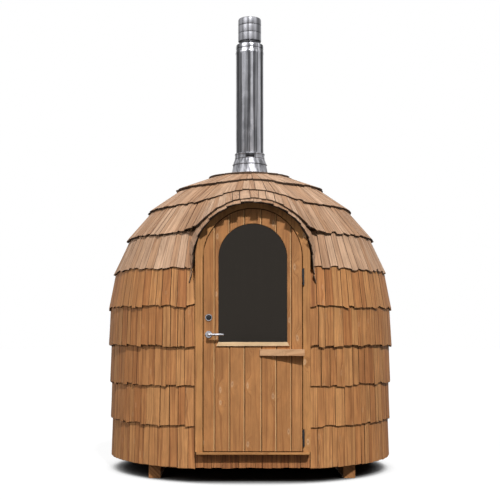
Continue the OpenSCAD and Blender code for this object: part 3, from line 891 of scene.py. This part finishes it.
# The top course: how far its heads stay off the pipe, and how steeply its ends face up
PIPE_OFF, TOP_RISE = 0.013, (radians(73), radians(84))
# A course line turns sharply where it bends by more than this
KINK = 0.35
# On the canopy the boards are thinner: their lower edge, and where that starts and ends
THIN_BUTT, THIN_FRONT, THIN_SIDES = 0.0115, -0.6, (0.65, 0.15)


class SAUNA_OT_roof_boards(bpy.types.Operator):
    """Shingles of the dome, which sweep up over the canopy"""
    bl_idname = "sauna.roof_boards"
    bl_label = "Roof boards"

    def execute(self, context):
        for k, sides in enumerate(DOOR_SIDES):
            foot, head = dome_point(DOME_R + BUTT, k), dome_point(DOME_R + HEAD, k + 1)
            top = [between(a, b, 1 + TUCK) for a, b in zip(foot, head)]
            boards = ring_row((*foot, sides[0], FIRST_STEP + k * STEP),
                              (*top, sides[1], FIRST_STEP + (k + 1) * STEP))
            lay(f"roof_course_{k + 1}", boards, "roof_shingle_painted_sheen" if k else "shingle",
                () if k else ("dome_shingles",))
        for k in (2, 3, 4):
            lay(f"roof_course_{k + 1}", self.swept_row(k, context.scene.sauna_skin),
                "roof_shingle_painted_sheen", ("canopy_shingles",) if k == 2 else ())
        head_r = PIPE_R + PIPE_OFF
        head_z = DOME_Z + sqrt(DOME_R**2 - head_r**2) + HEAD
        boards = ring_row((*dome_point(DOME_R + BUTT, 5), 0, TOP_RISE[0]),
                          (head_r, head_z, 0, TOP_RISE[1]))
        lay("roof_course_6", boards, "roof_shingle_painted_sheen")
        return {"FINISHED"}

    def swept_row(self, k, size):
        """One course that follows the dome, the valley and the canopy, all the way round."""
        half = course_line(k)
        line = half + [Vector((-p.x, p.y, p.z)) for p in reversed(half[:-1])]
        at = [0.0]
        for a, b in zip(line, line[1:]):
            at.append(at[-1] + (b - a).length)
        turns = [(line[i] - line[i - 2]).angle(line[i + 2] - line[i])
                 if 1 < i < len(line) - 2 else 0.0 for i in range(len(line))]
        kinks = [at[i] for i, turn in enumerate(turns)
                 if turn > KINK and turn >= max(turns[max(0, i - 4):i + 5])]
        cuts = cut_row(at[-1], kinks)

        def corner(where):
            """Foot and head of a board's side, each with its outward direction."""
            i = max(j for j in range(len(at) - 1) if at[j] <= where + 1e-9)
            share = (where - at[i]) / (at[i + 1] - at[i])
            p = settle(between(line[i], line[i + 1], share), 1, k)
            q, steps = p, 6
            for n in range(1, steps + 1):
                q = settle(q, 1 - n / steps, k + n / steps)
            up, head_up = slopes(p, 1)[0], slopes(q, 0)[0]
            return world(p), facing(up), world(p + (q - p) * (1 + TUCK)), facing(head_up)

        boards = []
        for left, right in zip(cuts, cuts[1:]):
            gap = chance_gap()
            a, b = corner(left + gap), corner(right - gap)
            thin = 0.5 * (ramp(*THIN_SIDES, abs(a[0].x)) + ramp(*THIN_SIDES, abs(b[0].x)))
            thick = between(size.butt, THIN_BUTT, thin if a[0].y < THIN_FRONT else 0)
            boards.append(Board([a[0], b[0], a[2], b[2]], [a[1], b[1], a[3], b[3]],
                                (thick, size.head), size.jag))
        return boards


def hood_place(around, run, radius):
    """A place on the canopy, and its outward direction. around is the length along its arch
    from the crown, at the deck's radius."""
    quarter = pi / 2 * HOOD_DECK
    if abs(around) < quarter:
        a = around / HOOD_DECK
        x, over = radius * sin(a), radius * cos(a)
        out = (sin(a), cos(a))
    else:
        side, hang = copysign(1, around), abs(around) - quarter
        x, over = side * (radius + LEG_BEND * hang * hang), -hang
        out = (side, 0.0)
    x *= 1 + flare(run, out[0]) / radius
    place = (x, HOOD_REACH - run * COS + over * SIN, HOOD_Z + run * SIN + over * COS)
    return place, (out[0], out[1] * SIN, out[1] * COS)


def run_to_dome(around, radius, limit):
    """Run up the canopy's slope at which it has gone inside the dome's boarding."""
    run, step, inside = 0.0, 0.01, DOME_R - 0.012
    while run < limit:
        x, reach, z = hood_place(around, run, radius)[0]
        if sqrt(x * x + reach * reach + (z - DOME_Z) ** 2) < inside:
            break
        run += step
    return run


def hood_row(half, radii, thick, start, stagger, limit, lift=0.0):
    """One row of the canopy, from start to limit up the slope. Every second end stands back,
    and each board's lower side is lifted on to the next board."""
    boards, gap, shortest = [], 0.001, 0.03
    for count, (left, right) in enumerate(centred_row(half)):
        first = start + stagger * (0.65 * (count % 2) + CHANCE.uniform(0, 0.35))
        middle = (left + right) / 2
        last = max(run_to_dome(middle, radii[0], limit), first + shortest)
        corners, outward = [], []
        for run, r in zip((first, last), radii):
            for around in (left + gap, right - gap):
                lower = around * middle > 0 and abs(around) > abs(middle)
                place, out = hood_place(around, run, r + (lift if lower and run == first else 0))
                corners.append(world(place))
                outward.append(facing(out))
        boards.append(Board(corners, outward, (thick, thick), jag=0.001, sink=0.0))
    return boards


class SAUNA_OT_canopy_boards(bpy.types.Operator):
    """Deck and first row of the canopy, with stepped ends over the door"""
    bl_idname = "sauna.canopy_boards"
    bl_label = "Canopy boards"

    def execute(self, context):
        half = pi / 2 * HOOD_DECK + HOOD_LEG
        boards = hood_row(half, (HOOD_DECK + 0.0065, HOOD_DECK + 0.0045), thick=0.0063, start=0.0,
                          stagger=0.034, limit=0.2, lift=0.006)
        lay("canopy_edge_boards", boards, "roof_shingle_painted_sheen")
        boards = hood_row(half - 0.01, (HOOD_DECK, HOOD_DECK), thick=DECK - 0.001, start=0.045,
                          stagger=0.02, limit=0.75)
        lay("canopy_deck_boards", boards, "deck_board", ("canopy_deck",))
        return {"FINISHED"}


class SAUNA_OT_front_boards(bpy.types.Operator):
    """Short boards under the sill"""
    bl_idname = "sauna.front_boards"
    bl_label = "Boards under the sill"

    def execute(self, context):
        low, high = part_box("sill_panel")
        half, gap, lean = high.x - 0.001, 0.001, 0.002
        boards = []
        for left, right in centred_row(half):
            corners = [Vector((x, y, z))
                       for y, z in ((low.y, low.z + 0.004), (low.y + lean, high.z))
                       for x in (left + gap, right - gap)]
            boards.append(Board(corners, [Vector((0, -1, 0))] * 4, (0.014, 0.012), jag=0.003,
                                sink=0.002))
        lay("front_boards", boards, "front_shingle", ("sill_panel",))
        backing = block((-half, low.y + 0.018, low.z + 0.012), (half, high.y, high.z), 0.002)
        finished("sill_block", backing, ["sill_board"], "cabin")
        return {"FINISHED"}


# --- Door ------------------------------------------------------------------------------------

ARC_STEPS = 128
# Joints between the door's boards, half the slit in a joint, and the easing of the other edges
SEAMS = (-0.272, -0.166, -0.06, 0.06, 0.166, 0.272)
SLIT, RIM_EASE = 0.0012, 0.0015
# The core stays this far inside the boards' outline
CORE_INSET = 0.0005


def doorway(radius, foot):
    """A doorway's outline in x and height: a circle whose lower half hangs down to the foot."""
    bm = bmesh.new()
    bmesh.ops.create_circle(bm, segments=ARC_STEPS, radius=radius)
    turn = radius * sin(2.5 * pi / ARC_STEPS)
    for vert in bm.verts:
        if vert.co.y < -1e-6:
            if vert.co.y > -turn:
                vert.co.x = copysign(radius, vert.co.x)
            vert.co.y = foot - ARCH_Z
    moved(bm, (0, ARCH_Z, 0))
    return bm


def leaf_sheet(outer_r, outer_foot, inner_r, inner_foot):
    """A flat sheet of the leaf's outline with its glass opening, in x and height."""
    bm = doorway(outer_r, outer_foot)
    pour(doorway(inner_r, inner_foot), bm)
    bmesh.ops.bridge_loops(bm, edges=bm.edges[:])
    return bm


def clip(bm, x, keep):
    """Cuts a sheet at x and keeps the side that keep points to."""
    bmesh.ops.bisect_plane(bm, geom=bm.verts[:] + bm.edges[:] + bm.faces[:], dist=1e-6,
                           plane_co=(x, 0, 0), plane_no=(keep, 0, 0), clear_inner=True)


def thicken(bm, front, back):
    """Gives a flat sheet its thickness, from one reach to another, and stands it up."""
    made = bmesh.ops.extrude_face_region(bm, geom=bm.faces[:])["geom"]
    bmesh.ops.translate(bm, verts=[v for v in made if isinstance(v, bmesh.types.BMVert)],
                        vec=(0, 0, front - back))
    for vert in bm.verts:
        vert.co = world((vert.co.x, back + vert.co.z, vert.co.y))
    bmesh.ops.recalc_face_normals(bm, faces=bm.faces[:])
    return bm


def door_board(outline, left, right, front, back, vee):
    """One board of the leaf between two seams. The sides of its joints get a painted highlight
    where they face right, towards the key lamp, and painted shade where they face left."""
    board = leaf_sheet(*outline)
    sides = (left + SLIT, right - SLIT)
    clip(board, sides[0], 1)
    clip(board, sides[1], -1)
    thicken(board, front, back)
    face_y = (min if front == LEAF_REACH else max)(v.co.y for v in board.verts)
    on_face = [e for e in board.edges if all(abs(v.co.y - face_y) < TINY for v in e.verts)]
    joints = [e for e in on_face
              if any(all(abs(v.co.x - x) < TINY for v in e.verts) for x in sides)]
    rims = [e for e in on_face
            if e not in joints and len(e.link_faces) == 2 and e.calc_face_angle(0) > 0.8]
    # The joints' sides take the painted highlight, and those that face left then take the painted
    # shade.
    bevel(board, joints, vee, 1, 1)
    for face in board.faces:
        face.normal_update()
        if face.material_index and face.normal.x < 0:
            face.material_index = 2
    bevel(board, [e for e in rims if e.is_valid], RIM_EASE)
    layer, tone = board.verts.layers.float.new("tone"), CHANCE.random()
    for vert in board.verts:
        vert[layer] = tone
    return board


class SAUNA_OT_door_leaf(bpy.types.Operator):
    """Boards on both faces of the leaf, round a core that holds the glass"""
    bl_idname = "sauna.door_leaf"
    bl_label = "Door leaf"

    def execute(self, context):
        size = context.scene.sauna_door
        opening_r = LEAF_R - size.stile
        glass_low, glass_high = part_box("door_glass")
        groove = glass_high.x - opening_r
        opening_foot = glass_low.z + groove
        outline = (LEAF_R, LEAF_FOOT, opening_r, opening_foot)
        core_front, core_back = LEAF_REACH - size.cladding, LEAF_BACK + size.cladding
        past = LEAF_R + 1
        seams = (-past, *SEAMS, past)
        whole = bmesh.new()
        whole.verts.layers.float.new("tone")
        for front, back in ((LEAF_REACH, core_front), (core_back, LEAF_BACK)):
            for left, right in zip(seams, seams[1:]):
                pour(door_board(outline, left, right, front, back, size.vee), whole)
        finished("door_boards", whole, ["door_board", "painted_lit_edge", "painted_shaded_edge"], "door",
                 ("door_leaf",))
        core = leaf_sheet(LEAF_R - CORE_INSET, LEAF_FOOT + CORE_INSET,
                          opening_r + groove + CORE_INSET, opening_foot - groove - CORE_INSET)
        thicken(core, core_front, core_back)
        finished("door_core", core, ["frame_board"], "door")
        return {"FINISHED"}


# --- Chimney and ironmongery -----------------------------------------------------------------

# Outlines, as steps out from a radius and up from a height
PIPE_END = ((0, -0.084), (0.003, -0.076), (0.003, -0.066), (0, -0.058), (0, -0.046),
            (-0.0025, -0.042), (-0.0025, -0.038), (0, -0.034), (0, -0.012), (-0.002, -0.005),
            (-0.006, -0.001), (-0.012, 0))
GROOVE = ((0, -0.004), (-0.003, -0.001), (-0.003, 0.001), (0, 0.004))
COWL_FOOT, COWL_TOP = ((-0.004, 0), (0, 0.004)), ((0, -0.016), (-0.003, -0.006), (-0.01, -0.001))
BAND_RIM = ((-0.002, 0), (0, 0.003), (0, 0.008), (-0.0025, 0.011))
SKIRT_FOOT, SKIRT_TOP = (((-0.003, 0), (0, 0), (0, 0.003), (-0.004, 0.006)),
                         ((0.011, -0.004), (0.009, 0), (0, 0)))
CONE_FOOT, CONE_TOP = (((-0.004, 0), (0, 0), (0, 0.004), (-0.004, 0.012)),
                       ((0.023, -0.003), (0.022, 0), (0, 0.006)))
# Height of the pipe's neck, how far it stands in, and the height of both skirts' inner edge
NECK, NECK_IN, SKIRT_LIFT = 0.026, 0.0275, 0.008


def outline(radius, height, steps):
    return [(radius + out, height + up) for out, up in steps]


def chimney_piece(name, parts, finish, *replaced):
    bm = joined(parts)
    moved(bm, (0, AXIS_Y, 0))
    finished(name, bm, [finish], "cabin", replaced, smooth=True)


class SAUNA_OT_chimney(bpy.types.Operator):
    """Pipe with its joint and neck, cap, locking band, storm collar and flashing"""
    bl_idname = "sauna.chimney"
    bl_label = "Chimney"

    def execute(self, context):
        foot, top = ends("flue_pipe", "z")
        bore = ends("flue_liner", "x")[HIGH]
        neck, throat = top - NECK, PIPE_R - NECK_IN
        shell = [(bore, foot), (PIPE_R, foot), *outline(PIPE_R, neck, PIPE_END), (bore, neck)]
        chimney_piece("flue_shell", [turned(shell)], "pipe_steel", "flue_pipe")
        # The neck under the cowl takes the dark steel as painted shade, standing for the cowl's
        # shadow on it.
        sleeve = turned([(bore, neck), (throat, neck), (throat, top), (bore, top)])
        chimney_piece("flue_neck", [sleeve], "dark_steel")

        low, high = ends("flue_cap", "z")
        wide = ends("flue_cap", "x")[HIGH]
        cowl = [(bore, low), *outline(wide, low, COWL_FOOT)]
        for share in (0.35, 0.68):
            cowl += outline(wide, low + share * (high - low), GROOVE)
        cowl += [*outline(wide, high, COWL_TOP), (bore, high)]
        chimney_piece("flue_cowl", [turned(cowl)], "flue_steel", "flue_cap")

        low, high = ends("locking_band", "z")
        wide = ends("locking_band", "x")[HIGH]
        upper_rim = [(out, -up) for out, up in reversed(BAND_RIM)]
        band = [(PIPE_R, low), *outline(wide, low, BAND_RIM), *outline(wide, high, upper_rim),
                (PIPE_R, high)]
        chimney_piece("band_ring", [turned(band)], "flue_steel", "locking_band")
        front = -wide - 0.003
        proud, sunk = front - 0.0009, front + 0.002
        # The clip's back and its two plates: sides, front, back, rise of the foot, drop of the
        # head and easing
        plates = ((-0.036, 0.036, front, 0.006 - wide, 0.008, 0.007, 0.0015),
                  (-0.026, 0.012, proud, sunk, 0.014, 0.013, 0.0008),
                  (0.018, 0.031, proud, sunk, 0.011, 0.01, 0.0008))
        chimney_piece("band_clip", [
            block((left, near, low + foot_in), (right, far, high - head_in), ease)
            for left, right, near, far, foot_in, head_in, ease in plates], "clip_steel")

        low, high = ends("storm_collar", "z")
        wide = ends("storm_collar", "x")[HIGH]
        skirt = [(PIPE_R, low + SKIRT_LIFT), *outline(wide, low, SKIRT_FOOT),
                 *outline(PIPE_R, high, SKIRT_TOP)]
        chimney_piece("storm_skirt", [turned(skirt)], "flue_steel", "storm_collar")
        foot, wide = ends("flashing", "z")[LOW], ends("flashing", "x")[HIGH]
        cone = [(PIPE_R, foot + SKIRT_LIFT), *outline(wide, foot, CONE_FOOT),
                *outline(PIPE_R, low, CONE_TOP)]
        chimney_piece("flashing_cone", [turned(cone)], "flue_steel", "flashing")
        return {"FINISHED"}


# Width of the inner roses as a share of the outer ones
INNER_ROSE = 40 / 54
# A rose's seat, edge and thickness, and the radius of the hole for the lever's neck
SEAT, ROSE_EDGE, ROSE_SHOULDER, ROSE_THICK, ROSE_HOLE = 0.0002, 0.002, 0.0055, 0.008, 0.009


class SAUNA_OT_roses(bpy.types.Operator):
    """Rounded roses of the handle and the lock, with the lock's cylinder"""
    bl_idname = "sauna.roses"
    bl_label = "Roses"

    def execute(self, context):
        low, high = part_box("door_roses")
        across, outer = (low.x + high.x) / 2, (high.x - low.x) / 2
        handle_z, lock_z = sum(ends("door_lever", "z")) / 2, high.z - outer
        roses, plugs = [], []
        for face, turn, wide in ((AXIS_Y - LEAF_REACH, 90, outer),
                                 (AXIS_Y - LEAF_BACK, -90, outer * INNER_ROSE)):
            ring = [(ROSE_HOLE, SEAT), (wide, SEAT), (wide, ROSE_EDGE),
                    (wide - 0.0015, ROSE_SHOULDER), (wide - 0.005, ROSE_THICK),
                    (ROSE_HOLE, ROSE_THICK)]
            dish = [(share * wide, up) for share, up in (
                (0.62, SEAT), (1, SEAT), (1, ROSE_EDGE), (0.95, ROSE_SHOULDER),
                (0.86, ROSE_THICK), (0.73, ROSE_THICK), (0.64, ROSE_SHOULDER), (0.62, 0.005))]
            plug = [(share * wide, up) for share, up in (
                (0, SEAT), (0.61, SEAT), (0.61, 0.004), (0.32, 0.0045), (0.3, 0.0075),
                (0, 0.0078))]
            for profile, z, pile in ((ring, handle_z, roses), (dish, lock_z, roses),
                                     (plug, lock_z, plugs)):
                bm = turned(profile, profile is not plug, steps=48, ease=0)
                bmesh.ops.rotate(bm, verts=bm.verts, cent=(0, 0, 0),
                                 matrix=Matrix.Rotation(radians(turn), 3, "X"))
                moved(bm, (across, face, z))
                pile.append(bm)
        finished("rose_rings", joined(roses), ["bright_steel"], "door",
                 ("door_roses",), True)
        finished("lock_plugs", joined(plugs), ["lock_steel"], "door", (), True)
        return {"FINISHED"}


# --- Finishes, stage and panel ---------------------------------------------------------------

class SAUNA_OT_finishes(bpy.types.Operator):
    """All finishes, and those of the parts that keep their shape"""
    bl_idname = "sauna.finishes"
    bl_label = "Finishes"

    def execute(self, context):
        colours = context.scene.sauna_colours
        for name, (*_, look) in WOODS.items():
            tones = {tone: tuple(getattr(colours, f"{name}_{tone.lower()}")) for tone in TONES}
            FINISH[name] = wood(name, tones, **look)
        for name, look in METALS.items():
            FINISH[name] = steel(name, *look)
        FINISH["tinted_glass"] = glass()
        for finish, nodes in KEPT.items():
            for node in nodes:
                slots = frame["nodes"][node].data.materials
                slots.clear()
                slots.append(FINISH[finish])
        return {"FINISHED"}


# Width, rise and turn of each lamp, in degrees
KEY_LAMP, SIDE_LAMP = (3, 44, 13), (30, 30, -50)
# The floor: reach of its shadow, how open to the sky is dark and is white, and its two greys
SHADOW_REACH, OPEN_SKY, SHADOW_CURVE, FLOOR_WHITE = 0.6, (0.12, 0.66), 1.3, 0.95
FLOOR_TO_PART, FLOOR_TO_EYE = (0.22, 0.22, 0.22, 1.0), (0.1, 0.1, 0.1, 1.0)
# The eye: its place before the dome's axis, lens, shift and how far it looks up
EYE, LENS, SHIFT, LOOK_UP = (-0.166, 8.486, 1.0687), 74.88, (0.041, 0.11), 1.575


class SAUNA_OT_stage(bpy.types.Operator):
    """Pale floor, white surround, key lamp, soft fill and camera"""
    bl_idname = "sauna.stage"
    bl_label = "Stage"

    def execute(self, context):
        scene, light = context.scene, context.scene.sauna_light
        scene.view_settings.view_transform = "Standard"
        bm = bmesh.new()
        bmesh.ops.create_grid(bm, x_segments=1, y_segments=1, size=60)
        mesh = bpy.data.meshes.new("floor")
        bm.to_mesh(mesh)
        bm.free()
        floor = bpy.data.objects.new("floor", mesh)
        scene.collection.objects.link(floor)
        made, tree, shader = new_finish("pale_floor", Roughness=1.0, Specular_IOR_Level=0.0,
                                        Emission_Strength=1.0)
        seen = add(tree, "LightPath")["Is Camera Ray"]
        sky = add(tree, "AmbientOcclusion", {"Distance": SHADOW_REACH}, samples=16)["AO"]
        soft = calc("POWER", remap(sky, *OPEN_SKY), SHADOW_CURVE)
        feed(tree, shader, {"Base Color": mix(seen, FLOOR_TO_PART, FLOOR_TO_EYE),
                            "Emission Color": grey(soft * (seen * FLOOR_WHITE))})
        mesh.materials.append(made)

        studio = bpy.data.worlds.new("studio")
        studio.use_nodes = True
        scene.world = studio
        tree = studio.node_tree
        path = add(tree, "LightPath")
        through = calc("MAXIMUM", path["Is Glossy Ray"], path["Is Transmission Ray"])
        seen = calc("MAXIMUM", path["Is Camera Ray"], through)
        fill = add(tree, "MapRange", {"Value": seen, "To Min": light.sky, "To Max": 1.0})[0]
        feed(tree, tree.nodes["Background"], {"Color": (1, 1, 1, 1), "Strength": fill})

        for name, energy, (spread, rise, turn) in (("key", light.sun, KEY_LAMP),
                                                   ("side", light.side, SIDE_LAMP)):
            lamp = bpy.data.lights.new(name, "SUN")
            lamp.energy, lamp.angle = energy, radians(spread)
            sun = bpy.data.objects.new(name, lamp)
            sun.rotation_euler = (radians(90 - rise), 0, radians(turn))
            scene.collection.objects.link(sun)

        camera = bpy.data.cameras.new("camera")
        camera.lens, camera.sensor_width, camera.clip_end = LENS, 36.0, 200
        camera.shift_x, camera.shift_y = SHIFT
        eye = bpy.data.objects.new("camera", camera)
        eye.location = world(EYE)
        eye.rotation_euler = (radians(90 + LOOK_UP), 0, 0)
        scene.collection.objects.link(eye)
        scene.camera = eye
        return {"FINISHED"}


OPERATORS = (SAUNA_OT_stage, SAUNA_OT_finishes, SAUNA_OT_wall_boards, SAUNA_OT_roof_boards,
             SAUNA_OT_canopy_boards, SAUNA_OT_front_boards, SAUNA_OT_door_leaf, SAUNA_OT_chimney,
             SAUNA_OT_roses)


class SAUNA_PT_panel(bpy.types.Panel):
    """Lists the steps that build the sauna"""
    bl_label = "Igloo sauna"
    bl_idname = "SAUNA_PT_panel"
    bl_space_type = "VIEW_3D"
    bl_region_type = "UI"
    bl_category = "Sauna"

    def draw(self, context):
        for operator in OPERATORS:
            self.layout.operator(operator.bl_idname)


GROUPS_OF_SIZES = {"sauna_skin": SaunaSkinSizes, "sauna_door": SaunaDoorSizes,
                   "sauna_light": SaunaLight, "sauna_colours": SaunaColours}
CLASSES = (*GROUPS_OF_SIZES.values(), *OPERATORS, SAUNA_PT_panel)


def register():
    for one in CLASSES:
        bpy.utils.register_class(one)
    for name, group in GROUPS_OF_SIZES.items():
        setattr(bpy.types.Scene, name, PointerProperty(type=group))


def unregister():
    for name in GROUPS_OF_SIZES:
        delattr(bpy.types.Scene, name)
    for one in reversed(CLASSES):
        bpy.utils.unregister_class(one)


def main():
    register()
    for operator in OPERATORS:
        group, name = operator.bl_idname.split(".")
        getattr(getattr(bpy.ops, group), name)()


if __name__ == "__main__":
    main()
